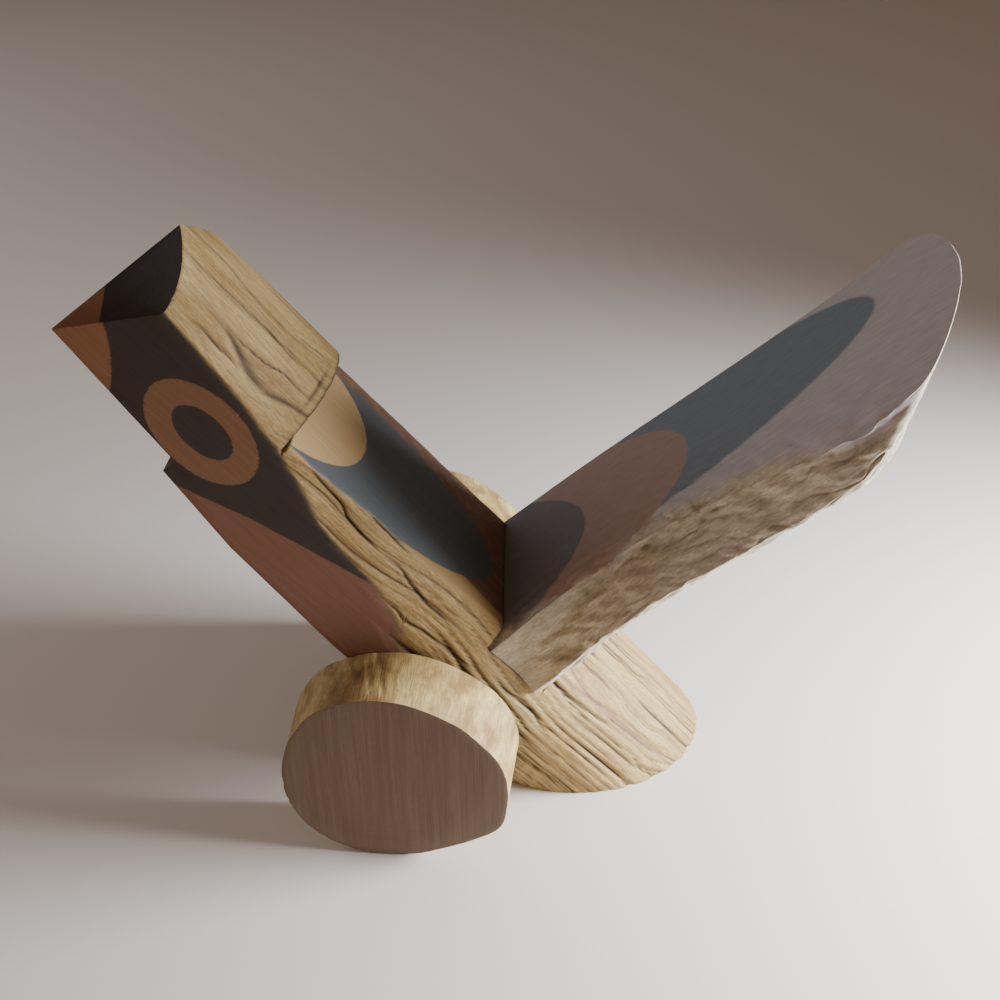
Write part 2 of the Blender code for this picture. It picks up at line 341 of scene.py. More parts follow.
# Fuselage log. Its side view has u along the log, nose to foot, and m out of its back; sizes in mm
logSizes = {
    "lean": 51.0, "middle": (-33.4, 0.0, 70.0), "ends": (-148.0, 124.0),
    "radius": (32.2, 33.0), "across": (-9.9, 9.5), "depth": (4.2, -1.8),  # at u = -100 and u = +100
    "swell": (0.13, 209.0, 22.0, 0.0, 65.0),  # share, direction, spread, fades between these u
    "hollow": (1.5, 156.0, 15.0, -46.0, 17.0),  # depth, direction, spread, middle u and its spread
    "side": -34.2,
    # the belly's height at each u; its jog is where one u stands twice
    "belly": [(-200, 8.7), (-86, -3.7), (-86, -8.6), (-57, -13.0), (0, -15.8), (150, -23.0)],
    "stepU": -71.6, "kerf": (1.1, 2.0), "saddle": 23.6, "saddleEnd": 20.5,
    "seatY": 34.0, "seatRadius": 41.5, "seatReach": 80.0,  # spot face for the right wheel
    "tip": (-115.4, -34.2, 173.4), "ridge": (-85.7, -14.3, 193.1),
    "shoulder": (-83.9, -34.2, 179.2), "back": (-82.4, -3.9, 187.4),
    "columns": (34, 44, 92, 92, 44), "rowStep": 0.92, "wornEdge": 1.1,
    "grooves": (29, 66, 130),  # broad, close and fine ridges round the log
}
jogU = logSizes["belly"][1][0]
noLimit = 999.0  # a reach that no saw cut shortens, mm

# Long drying cracks in the log's skin: direction in degrees, from u, to u, depth and width in mm, slant
logCracks = [
    (128.0, -112, -94, 0.8, 0.7, 0.10), (118.0, -104, -72, 0.7, 0.6, -0.06),
    (104.0, -98, -80, 0.7, 0.6, 0.05), (88.0, -86, -73, 0.8, 0.6, -0.12),
    (72.0, -100, -82, 0.5, 0.6, 0.04), (146.0, -62, -30, 0.9, 0.7, 0.10),
    (152.0, -28, 8, 1.0, 0.8, 0.08), (166.0, -20, 22, 0.9, 0.8, -0.05),
    (139.0, -44, -22, 0.6, 0.6, 0.04), (120.0, 26, 70, 1.1, 0.8, 0.03),
    (98.0, 30, 92, 1.1, 0.9, -0.04), (78.0, 34, 80, 1.0, 0.8, 0.05),
    (140.0, 30, 76, 1.2, 0.9, -0.06), (58.0, 40, 96, 0.9, 0.8, 0.03),
    (160.0, 28, 60, 1.1, 0.9, 0.06),
]


def sideView(u, m, y):
    # place of a side-view point, mm
    lean = np.radians(logSizes["lean"])
    x0, _, z0 = logSizes["middle"]
    u, m, y = np.broadcast_arrays(u, m, y)
    return np.stack([x0 + u * np.cos(lean) + m * np.sin(lean), y,
                     z0 - u * np.sin(lean) + m * np.cos(lean)], axis=-1)


def toSideView(points):
    # the reverse: (u, m, y) of places
    lean = np.radians(logSizes["lean"])
    x0, _, z0 = logSizes["middle"]
    x, z = points[:, 0] - x0, points[:, 2] - z0
    return x * np.cos(lean) - z * np.sin(lean), x * np.sin(lean) + z * np.cos(lean), points[:, 1]


def alongLog(pair, u):
    # straight run between a pair of values given at u = -100 and u = +100
    return pair[0] + (pair[1] - pair[0]) * (u + 100) / 200


def logRadius(u, t):
    # tapering round log with a swelling low on its near side and a shallow hollow above it
    share, centre, spread, full, gone = logSizes["swell"]
    fade = np.clip((gone - u) / (gone - full), 0, 1)
    away = (np.degrees(t) - centre + 180) % 360 - 180
    swell = share * fade * np.exp(-(away / spread) ** 2)
    depth, centre, spread, middle, length = logSizes["hollow"]
    away = (np.degrees(t) - centre + 180) % 360 - 180
    hollow = depth * np.exp(-(away / spread) ** 2 - ((u - middle) / length) ** 2)
    return alongLog(logSizes["radius"], u) * (1 + swell) - hollow


def grooveLines(u, turn, count, wander, seed):
    # long lines running down the log: the phase count * turn + wander crosses a whole number on each line;
    # gives how far off its line a point is, 0 to 1, and the line's strength, which comes and goes along it
    phase = turn * count + wander
    line = np.round(phase)
    strength = softNoise(u / 30 + line * 0.37, line, seed, count)
    return 2 * np.abs(phase - line), np.clip(strength * 1.8 - 0.35, 0, 1)


def logGrain(u, t):
    # broad ridges, close ridges that deepen towards the foot and fine ones, each rounded between its lines;
    # then slow waves, drying cracks and saw marks, fading at the nose. Gives relief in mm, and painted shade
    # that darkens the lines, the cracks and the step's edge
    broadCount, closeCount, fineCount = logSizes["grooves"]
    turn = (t / (2 * np.pi)) % 1.0
    wander = 1.5 * softNoise(u / 75, turn * 5, 3, 5) + 1.0 * softNoise(u / 30, turn * 13, 4, 13)
    ripple = 0.5 * softNoise(u / 9, turn * 30, 13, 30)
    broad, broadStrength = grooveLines(u, turn, broadCount, wander, 5)
    close, closeStrength = grooveLines(u, turn, closeCount, 2.2 * wander + ripple, 6)
    fine, fineStrength = grooveLines(u, turn, fineCount, 4.5 * wander + 2 * ripple, 12)
    toFoot = np.clip((u + 60) / 100, 0, 1)
    atNose = np.clip((u + 118) / 14, 0.25, 1)
    broadDepth = (0.7 + 0.25 * toFoot) * broadStrength
    closeDepth = (0.4 + 0.35 * toFoot) * closeStrength
    relief = broadDepth * (np.clip(broad / 0.55, 0, 1) ** 0.55 - 1)
    relief = relief + closeDepth * (np.clip(close / 0.7, 0, 1) ** 0.55 - 1)
    relief = relief + (0.16 + 0.16 * toFoot) * fineStrength * (np.clip(fine / 0.8, 0, 1) ** 0.6 - 1)
    relief = relief + 0.8 * (softNoise(u / 48, turn * 8, 8, 8) - 0.5) + 0.5
    # painted shade: darker along each line's valley, strongest on the broad lines
    shade = (1.0 + 0.4 * toFoot) * broadDepth * np.clip(1 - broad / 0.15, 0, 1)
    shade = shade + (0.8 + 0.6 * toFoot) * closeDepth * np.clip(1 - close / 0.24, 0, 1)
    shade = shade + (0.25 + 0.2 * toFoot) * fineStrength * np.clip(1 - fine / 0.35, 0, 1)
    shade = shade + 0.12 * broadDepth * np.clip(1 - broad / 0.5, 0, 1)
    radius = alongLog(logSizes["radius"], u)
    for direction, start, end, crackDepth, width, slant in logCracks:
        middle, half = (start + end) / 2, (end - start) / 2
        path = np.radians(direction) + slant * (u - middle) / radius
        path = path + 0.05 * (softNoise(u / 7, 0 * u + direction, 11) - 0.5)
        away = ((t - path + np.pi) % (2 * np.pi) - np.pi) * radius
        taper = np.clip(1 - ((u - middle) / half) ** 2, 0, 1) ** 0.7
        crack = taper * np.exp(-(away / (0.5 * width)) ** 2)
        relief = relief - crackDepth * crack
        # painted shade inside the crack
        shade = shade + 1.1 * crack
    relief = relief * atNose
    # at the step: a dark line of painted shade along its edge, where the kerf lies in shadow, and a short
    # false saw start just ahead of it, cut in and darkened with painted shade
    behind = u - logSizes["stepU"]
    edge = np.clip(np.sin(t) * 2.4 - 1.0, 0, 1) * np.exp(-(behind / 0.6) ** 2)
    falseStart = np.exp(-((np.degrees(t) - 108) / 14) ** 2) * np.exp(-((behind + 2.9) / 0.5) ** 2)
    relief = relief - 0.35 * falseStart
    return relief, np.clip(shade + edge + 0.8 * falseStart, 0, 1)


def bellyLine(u):
    # height of the sawn belly, with the jog of its stop cut
    points = np.array(logSizes["belly"], float)
    front = np.interp(u, points[:2, 0], points[:2, 1])
    rear = np.interp(u, points[2:, 0], points[2:, 1])
    return np.where(u < points[1, 0], front, rear)


def saddleLine(u):
    # height of the sunk flat behind the step, deeper in the saw kerf; no limit ahead of it or past its end
    width, depth = logSizes["kerf"]
    inKerf = u < logSizes["stepU"] + width
    level = logSizes["saddle"] - np.where(inKerf, depth, 0.0)
    return np.where((u < logSizes["stepU"]) | (u > logSizes["saddleEnd"]), noLimit, level)


def logRows():
    # stations along the log, doubled where a saw cut stops so that its wall stands square
    start, end = logSizes["ends"]
    rows = np.arange(start, end, logSizes["rowStep"])
    walls = [jogU, logSizes["stepU"], logSizes["stepU"] + logSizes["kerf"][0]]
    rows = rows[np.all([np.abs(rows - wall) > 0.3 for wall in walls], axis=0)]
    doubled = [wall + shift for wall in walls for shift in (-1e-4, 1e-4)]
    return np.sort(np.concatenate([rows, doubled]))


def logSurface():
    # radius at angle t round the core = lowest of the grooved log and the sawn planes, rounded where they
    # meet; columns are shared out between the arrises, so that the arrises follow the grid
    u = logRows()[:, None]
    cy, cm = alongLog(logSizes["across"], u), alongLog(logSizes["depth"], u)
    radius = alongLog(logSizes["radius"], u)
    side, belly = logSizes["side"], bellyLine(u)
    toSide, toBelly = side - cy, belly - cm
    sideCorner = 2 * np.pi + np.arctan2(toBelly, toSide)
    roundCorner, sideTop = np.full_like(u, 3.6), np.full_like(u, 2.6)
    for _ in range(6):
        roundCorner = np.pi + np.arcsin(np.clip(-toBelly / logRadius(u, roundCorner), -1, 1))
        sideTop = np.arccos(np.clip(toSide / logRadius(u, sideTop), -1, 1))
    start = np.where(np.hypot(toSide, toBelly) < logRadius(u, sideCorner), sideCorner, roundCorner)
    saddleRise = np.arcsin(np.clip((logSizes["saddle"] - cm) / radius, -1, 1))
    saddleNear = np.minimum(np.pi - saddleRise, sideTop - 0.05)
    bellyFar = np.arcsin(np.clip(toBelly / radius, -1, 1))
    corners = [start, sideTop, saddleNear, saddleRise, bellyFar, start - 2 * np.pi]
    spans = [np.linspace(0, 1, count, endpoint=False)[None, :] for count in logSizes["columns"]]
    t = np.concatenate([a + (b - a) * span for a, b, span in zip(corners, corners[1:], spans)], axis=1)
    relief, _ = logGrain(u + 0 * t, t)
    reach = logRadius(u, t) + relief
    worn = logSizes["wornEdge"]
    least = 0.05  # a ray that leans less than this towards a plane is taken to miss it
    cosine, sine = np.cos(t), np.sin(t)
    toward = np.where(cosine < -least, toSide / np.minimum(cosine, -least), noLimit)
    reach = softMin(reach, toward, worn)
    toward = np.where(sine < -least, toBelly / np.minimum(sine, -least), noLimit)
    reach = softMin(reach, toward, worn)
    toward = np.where(sine > least, (saddleLine(u) - cm) / np.maximum(sine, least), noLimit)
    reach = softMin(reach, toward, worn)
    return u, cy + reach * cosine, cm + reach * sine


def makeLog(finishes):
    # finishes in order: painted log, nose paint, raw saw cut
    u, y, m = logSurface()
    rows, columns = y.shape
    points = sideView(u, m, y).reshape(-1, 3)
    faces = gridFaces(rows, columns)
    onBelly = np.abs(m - bellyLine(u)).reshape(-1) < 0.05
    slots = np.where(onBelly[faces].all(axis=1), 2, 0)
    # the walls of the saw cuts are raw, but the jog's is painted
    isWall = np.repeat(np.diff(u[:, 0]) < 0.01, columns)
    drop = np.linalg.norm(points[faces[:, 0]] - points[faces[:, 3]], axis=1)
    slots[isWall & (drop > 0.3)] = 2
    jog = np.repeat(np.abs(u[:-1, 0] - jogU) < 0.01, columns)
    slots[isWall & jog & (drop > 0.3)] = 1
    ends = [tuple(range(columns - 1, -1, -1)), tuple(range((rows - 1) * columns, rows * columns))]
    piece = newPiece("fuselage", points, faces.tolist() + ends, finishes, [*slots, 2, 2])
    trimLog(piece)
    return piece


def trimLog(piece):
    # saws off the level foot and the two facets of the nose, and closes each cut with one flat face
    tip, ridge, shoulder, back = (Vector(logSizes[k]) * mm for k in ("tip", "ridge", "shoulder", "back"))
    nearFacet = (ridge - tip).cross(shoulder - tip).normalized()
    farFacet = (ridge - tip).cross(back - tip).normalized()
    nearFacet *= 1 if nearFacet.z > 0 else -1
    farFacet *= 1 if farFacet.x < farFacet.z else -1
    planes = [(Vector((0, 0, 0)), Vector((0, 0, -1)), 2), (tip, nearFacet, 1), (tip, farFacet, 1)]
    shape = bmesh.new()
    shape.from_mesh(piece.data)
    bmesh.ops.recalc_face_normals(shape, faces=shape.faces)
    for place, outward, slot in planes:
        everything = shape.verts[:] + shape.edges[:] + shape.faces[:]
        bmesh.ops.bisect_plane(shape, geom=everything, plane_co=place, plane_no=outward, clear_outer=True)
        rim = [edge for edge in shape.edges if edge.is_boundary]
        caps = bmesh.ops.edgeloop_fill(shape, edges=rim, mat_nr=slot)["faces"]
        print("  cut closed with", len(caps), "face,", len(rim), "edges")
    bmesh.ops.recalc_face_normals(shape, faces=shape.faces)
    shape.to_mesh(piece.data)
    shape.free()


# Painted shapes on the log: ellipses as centre, half axes and tilt, in mm and degrees
logPaint = {
    "ringOuter": ((-87.9, 9.2), (18.0, 12.2), -3.7),  # on the side, (u, m)
    "ringInner": ((-87.9, 9.5), (9.7, 6.0), -0.8),
    "tipPatch": ((-148.0, -22.9), (43.0, 43.0), 0.0),
    "lowerBand": [(-82.0, -9.4), (-61.0, -0.7), (-34.3, 7.6), (-12.0, 14.0)],  # brown below this line
    "facetLine": -102.7,  # X where the nose facet turns from brown to black
    "cream": ((-76.4, -8.2), (29.8, 23.3), 12.4),  # on the saddle, (u, y)
    "slate": ((-50.9, -7.6), (61.8, 23.2), 5.2),
    "border": ((-76.0, -10.0), -0.09),  # point (u, y) and slope of a line on the saddle; brown beyond it
}


def markLog(piece):
    # for each vertex: painted shade in the grooves, and distance in mm to the edge of each painted shape
    mesh = piece.data
    places = pointsOf(mesh)
    u, m, y = toSideView(places)
    t = np.arctan2(m - alongLog(logSizes["depth"], u), y - alongLog(logSizes["across"], u))
    _, shade = logGrain(u, t)
    setAttribute(mesh, "grooveShade", shade)
    # paint stays on the sawn side, and runs over its rounded lower arris
    margin = np.where(m < bellyLine(u) + 4, 1.6, 0.3)
    side = np.abs(y - logSizes["side"]) - margin
    saddle = np.maximum(np.abs(m - logSizes["saddle"]) - 0.35, logSizes["stepU"] - u)
    band = np.array(logPaint["lowerBand"])
    (u0, y0), slope = logPaint["border"]
    edges = {
        "sidePaint": side, "saddleCut": saddle, "facetTip": places[:, 0] - logPaint["facetLine"],
        "ringOuter": np.maximum(ellipseEdge(u, m, logPaint["ringOuter"]), side),
        "ringInner": np.maximum(ellipseEdge(u, m, logPaint["ringInner"]), side),
        "tipPatch": np.maximum(ellipseEdge(u, m, logPaint["tipPatch"]), side),
        "lowerBand": np.maximum(0.94 * (m - np.interp(u, band[:, 0], band[:, 1])), side),
        "cream": np.maximum(ellipseEdge(u, y, logPaint["cream"]), saddle),
        "slate": np.maximum(ellipseEdge(u, y, logPaint["slate"]), saddle),
        "border": np.maximum(y0 + slope * (u - u0) - y, saddle),
    }
    for name, distance in edges.items():
        setAttribute(mesh, name, distance)


# Wing blade: s runs up it, w across it from the near arris, n out of the painted face; sizes in mm
bladeSizes = {
    "root": (-7.4, -26.0, 66.2), "slope": 42.0, "roll": 4.6, "seat": -1.8, "notch": 26.5, "gap": 0.3,
    "rows": 236, "columns": (84, 216), "relief": 0.8,  # columns over the face and round the back
    "flankColumns": 60,  # last columns of the back, where the face's paint runs out
    # s, and how far over the face the crumpling reaches
    "crumpled": [(0, 12.0), (40, 17.0), (90, 22.0), (130, 20.0), (167, 8.0)],
    # stations: s, far edge w, near arris w, bulge beyond the arris, edge and middle thickness
    "stations": [
        (-1.5, 52.5, 0.0, 4.0, 25.6, 26.4), (14.0, 53.2, 2.6, 8.0, 24.5, 26.3),
        (34.0, 54.0, 6.0, 13.5, 21.0, 26.0), (60.0, 54.5, 7.5, 15.5, 20.0, 26.0),
        (100.0, 54.4, 1.0, 11.0, 19.5, 24.0),
        (120.0, 54.7, -3.5, 7.5, 16.5, 21.5), (131.0, 55.0, -4.7, 4.5, 11.0, 17.0),
        (140.0, 55.7, -3.6, 1.8, 5.0, 11.5), (147.0, 56.4, -1.2, 0.2, 1.4, 7.0),
        (153.0, 56.8, 5.3, 0.0, 0.9, 4.6), (158.0, 56.8, 12.8, 0.0, 0.9, 3.4),
        (162.5, 54.2, 21.2, 0.0, 0.9, 2.4), (165.5, 50.0, 28.8, 0.0, 0.9, 1.6),
        (167.0, 43.5, 35.5, 0.0, 0.9, 1.1),
    ],
}

bladePaint = {
    "dark": ((-136.2, 38.7), (175.5, 49.6), -3.8),  # painted ellipses in (s, w)
    "brown": ((36.1, 30.2), (42.0, 24.8), 3.4),
    "slate": ((66.6, 34.4), (76.6, 20.8), 5.2),
    # where the paint gives out, as s and the way from the near arris, below 0 down the flank
    "bareEdge": [(0, 1.0), (23, 0.5), (42, -1.5), (47, -1.0), (60, 2.5), (84, 3.0), (104, 3.0), (114, 0.0),
                 (122, -3.0), (132, -4.5), (140, -2.5), (148, -0.8), (152, -0.2), (168, 0.0)],
}


def bladeAxes():
    # directions of s, w and n
    slope, roll = np.radians(bladeSizes["slope"]), np.radians(bladeSizes["roll"])
    along = np.array([np.cos(slope), 0, np.sin(slope)])
    across = np.array(Matrix.Rotation(roll, 3, Vector(along)) @ Vector((0, 1, 0)))
    return along, across, np.cross(along, across)


def onBlade(s, w, n):
    # place of a blade point, mm
    along, across, out = bladeAxes()
    s, w, n = np.broadcast_arrays(s, w, n)
    return np.array(bladeSizes["root"]) + s[..., None] * along + w[..., None] * across + n[..., None] * out


def bladeGrain(s, a):
    # crumpled split grain: ridges along the blade, bent by cross waves, over lumps that lean across it;
    # a is the way round the section in mm. Gives relief in mm, and painted shade in the grooves
    push = 1.4 * softNoise(s / 30, a / 14, 21) + 1.5 * softNoise(s / 7, a / 5, 22)
    ridge = np.abs(2 * softNoise(s / 17, a / 2.6 + push, 23) - 1)
    fine = np.abs(2 * softNoise(s / 6, a / 1.5 + 2 * push, 24) - 1)
    lumps = softNoise((s + 0.9 * a) / 6, (a - 0.4 * s) / 4, 26) + 0.7 * softNoise((s + a) / 3.2, a / 2.2, 27)
    strength = softNoise(s / 24, a / 10, 25)
    relief = 1.5 * (lumps - 0.85) - (0.4 + 0.9 * strength) * (1 - np.clip(ridge / 0.6, 0, 1) ** 0.6)
    relief = relief - 0.35 * (1 - np.clip(fine / 0.6, 0, 1))
    # a torn step that runs down the flank and bends up the blade at the arris
    torn = s - 43.0 - 11.0 * np.clip((a + 3) / 3.5, 0, 1) ** 1.5
    relief = relief + 0.9 * np.clip(torn / 1.2, 0, 1) * np.exp(-(torn / 11) ** 2) * np.clip((4 - a) / 4, 0, 1)
    # painted shade along the valleys between the ridges
    shade = 0.5 * strength * np.clip(1 - ridge / 0.3, 0, 1) + 0.25 * strength * np.clip(1 - fine / 0.3, 0, 1)
    return bladeSizes["relief"] * relief, np.clip(shade, 0, 1)


def bladeSurface():
    # at station s: flat face from near arris to far edge, then the bowed back;
    # back depth = edge sqrt(sin) + (middle - edge) sin^2, with the near flank swelling past the arris
    stations = np.array(bladeSizes["stations"])
    last = stations[-1, 0]
    even = np.linspace(0, 1, bladeSizes["rows"])
    s = (stations[0, 0] + (last - stations[0, 0]) * (even + 0.06 * np.sin(np.pi * even)))[:, None]
    far, near, bulge, edge, middle = (smoothThrough(s, stations[:, 0], stations[:, k]) for k in range(1, 6))
    bulge, edge = np.maximum(bulge, 0.0), np.maximum(edge, 0.8)
    middle = np.maximum(middle, edge + 0.1)
    flatCount, backCount = bladeSizes["columns"]
    share = np.linspace(0, 1, flatCount)[None, :]
    flatW = near + (far - near) * share
    turn = (np.pi * np.arange(1, backCount + 1) / (backCount + 1))[None, :]
    # the power is lower at the root, where the section is squarer
    power = 0.5 - 0.3 * np.clip(1 - s / 45, 0, 1)
    across = np.sign(np.cos(turn)) * np.abs(np.cos(turn)) ** power
    nearness = (1 - across) / 2
    backW = far + (near - far) * nearness - bulge * nearness ** 4 * np.minimum(1, 2.2 * np.sin(turn))
    backN = -(edge * np.sin(turn) ** power + (middle - edge) * np.sin(turn) ** 2)
    # the near arris is worn round: the face rolls down over its last few mm
    roll = np.minimum(6.0, 0.5 * (far - near)) * np.clip(edge / 12, 0.05, 1)
    flatN = -0.42 * roll * np.clip(1 - (flatW - near) / roll, 0, 1) ** 2
    flatN = flatN + 0.25 * (softNoise(s / 40, flatW / 16, 31) - 0.5)
    w = np.concatenate([flatW, backW], axis=1)
    n = np.concatenate([flatN, backN], axis=1)
    stepW, stepN = np.roll(w, -1, 1) - np.roll(w, 1, 1), np.roll(n, -1, 1) - np.roll(n, 1, 1)
    length = np.maximum(np.hypot(stepW, stepN), 1e-6)
    # way from the near arris: above 0 across the face, below 0 down the flank
    alongW, alongN = np.diff(w, axis=1, prepend=w[:, :1]), np.diff(n, axis=1, prepend=n[:, :1])
    way = np.cumsum(np.hypot(alongW, alongN), axis=1)
    flank = way[:, flatCount:] - way[:, -1:] - np.hypot(w[:, -1:] - w[:, :1], n[:, -1:] - n[:, :1])
    fromArris = np.concatenate([flatW - near, flank], axis=1)
    relief, shade = bladeGrain(s + 0 * w, fromArris)
    # the crumpling spreads from the near flank over the near third of the face and stops at the far edge
    spread = np.interp(s, *np.array(bladeSizes["crumpled"]).T)
    onFace = np.concatenate([0.8 * np.clip(1 - (flatW - near) / spread, 0, 1) ** 1.3,
                             np.clip(turn / 0.25, 0, 1) + 0 * backW], axis=1)
    thin = np.clip((edge - 1) / 9, 0.04, 1) * np.clip((s - 2) / 12, 0.15, 1)
    lift = relief * onFace * thin
    w = w - lift * stepN / length
    n = n + lift * stepW / length
    return s, w, n, shade * np.clip(onFace * 1.5, 0, 1) * thin, fromArris


def makeBlade(finishes):
    # finishes in order: split wood, face paint, raw saw cut
    s, w, n, shade, fromArris = bladeSurface()
    rows, columns = w.shape
    points = onBlade(s, w, n).reshape(-1, 3)
    faces = gridFaces(rows, columns)
    column = faces[:, 0] % columns
    slots = np.where(column < columns - bladeSizes["flankColumns"], 0, 1)
    slots[column < bladeSizes["columns"][0] - 1] = 1
    ends = [tuple(range(columns - 1, -1, -1)), tuple(range((rows - 1) * columns, rows * columns))]
    piece = newPiece("wingBlade", points, faces.tolist() + ends, finishes, [*slots, 2, 0])
    mesh = piece.data
    setAttribute(mesh, "grooveShade", shade.reshape(-1))
    s, w = np.broadcast_to(s, w.shape).reshape(-1), w.reshape(-1)
    for name in ("dark", "brown", "slate"):
        setAttribute(mesh, name, ellipseEdge(s, w, bladePaint[name]))
    bare = np.interp(s, *np.array(bladePaint["bareEdge"]).T)
    setAttribute(mesh, "bareEdge", fromArris.reshape(-1) - bare)
    faceOutward(mesh)
    return piece


# Wheels; sizes in mm, directions in degrees
wheelSizes = {
    "lobes": ((2, 0.0155, -1.27), (3, 0.0236, 0.24)),  # order, share of the radius and phase
    "radius": {"left_wheel": 35.1, "right_wheel": 39.0},
    "corner": (0.06, -31.0, 13.0),  # share, direction and spread of the bump low on the outline
    "columns": 300, "faceRings": 46, "rimRows": 34, "chamfer": 0.25,
    "sawLines": 0.07, "rimRelief": 0.7,
    "slant": (0.1, 42.0),  # share by which the outer face is smaller, and in which direction
    "inset": (0.15, 0.1, 0.05),  # of the rim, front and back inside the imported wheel
    "pith": (-4.0, 3.0),  # X and Z from the middle
}


def makeWheel(node, name, seed, crack, finishes):
    # slice of a log: r(t) = R (1 + sum share cos(order t + phase)), with a bump; face rings, then the rim
    # with grooves along its axis. crack is the direction of a split in the rim, in radians, or None.
    # Finishes in order: sawn face, debarked rim
    low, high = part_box(node)
    radius = wheelSizes["radius"][node]
    t = 2 * np.pi * np.arange(wheelSizes["columns"])[None, :] / wheelSizes["columns"]
    lobes = sum(share * np.cos(order * t + phase) for order, share, phase in wheelSizes["lobes"])
    share, direction, spread = wheelSizes["corner"]
    away = (np.degrees(t) - direction + 180) % 360 - 180
    outline = radius * (1 + lobes) * (1 + share * np.exp(-(away / spread) ** 2))
    x0 = (low.x + high.x) / 2 / mm - (outline * np.cos(t)).max() / 2 - (outline * np.cos(t)).min() / 2
    z0 = low.z / mm - (outline * np.sin(t)).min()
    front, back = low.y / mm, high.y / mm
    # the rim slants in to the outer face, the one away from the log
    share, direction = wheelSizes["slant"]
    slant = outline * share * np.maximum(0, np.cos(t - np.radians(direction))) ** 2
    rings = np.linspace(0, 1, wheelSizes["faceRings"] + 1)[1:-1, None] ** 0.8
    edge = wheelSizes["chamfer"]
    across = np.linspace(0, 1, wheelSizes["rimRows"])[:, None]
    rimY = front + edge + (back - front - 2 * edge) * across
    turn = (t / (2 * np.pi)) % 1.0
    push = 1.1 * softNoise(rimY / 9, turn * 40, seed + 1, 40)
    ridge = np.abs(2 * softNoise(rimY / 30 + 3, turn * 80 + push, seed, 80) - 1)
    valley = np.clip(1 - ridge / 0.4, 0, 1) ** 1.3
    waves = softNoise(rimY / 16, turn * 22, seed + 2, 22) - 0.5
    strength = softNoise(rimY / 20, turn * 18, seed + 3, 18)
    relief = wheelSizes["rimRelief"] * (0.9 * waves - 0.6 * valley * strength)
    # painted shade in the rim's grooves
    shade = 0.45 * valley * strength
    if crack is not None:
        away = ((t - crack - 0.05 * np.sin(across * 5) + np.pi) % (2 * np.pi) - np.pi) * radius
        split = np.exp(-(away / 0.5) ** 2) * np.clip(1.3 - across, 0, 1)
        # painted shade in the split
        relief, shade = relief - 0.9 * split, np.clip(shade + 1.3 * split, 0, 1)
    rimInset, frontInset, backInset = wheelSizes["inset"]
    outward = 1 - across if front < 0 else across
    rimR = outline + relief - rimInset - slant * outward ** 1.2
    faceR = (rimR[:1] - edge) * rings
    backR = (rimR[-1:] - edge) * rings
    sawX = faceR * np.cos(t)
    saw = wheelSizes["sawLines"] * (softNoise(sawX / 1.1, faceR * np.sin(t) / 30, seed + 4) - 0.5)
    frontY = front + frontInset + saw
    r = np.concatenate([faceR, rimR, backR[::-1]])
    y = np.concatenate([frontY, rimY + 0 * rimR, back - backInset + 0 * backR])
    shades = np.concatenate([0 * faceR, shade, 0 * backR])
    points = np.stack([x0 + r * np.cos(t), y, z0 + r * np.sin(t)], axis=-1)
    rows, columns = r.shape
    centres = [(x0, front + frontInset, z0), (x0, back - backInset, z0)]
    points = np.concatenate([points.reshape(-1, 3), centres])
    points[:, 2] = np.maximum(points[:, 2], 0.0)
    faces = gridFaces(rows, columns)
    row = np.arange(rows - 1).repeat(columns)
    ringCount = len(rings)
    slots = np.where((row >= ringCount) & (row < rows - ringCount), 1, 0)
    nextColumn = (np.arange(columns) + 1) % columns
    centre = rows * columns
    frontFan = [(centre, int(b), int(a)) for a, b in zip(range(columns), nextColumn)]
    lastRow = (rows - 1) * columns
    backFan = [(centre + 1, lastRow + int(a), lastRow + int(b)) for a, b in zip(range(columns), nextColumn)]
    allFaces = faces.tolist() + frontFan + backFan
    piece = newPiece(name, points, allFaces, finishes, [*slots, *[0] * (2 * columns)])
    faceOutward(piece.data)
    setAttribute(piece.data, "grooveShade", np.concatenate([shades.reshape(-1), [0, 0]]))
    pithX, pithZ = wheelSizes["pith"]
    setAttribute(piece.data, "fromPith", np.hypot(points[:, 0] - x0 - pithX, points[:, 2] - z0 - pithZ))
    return piece


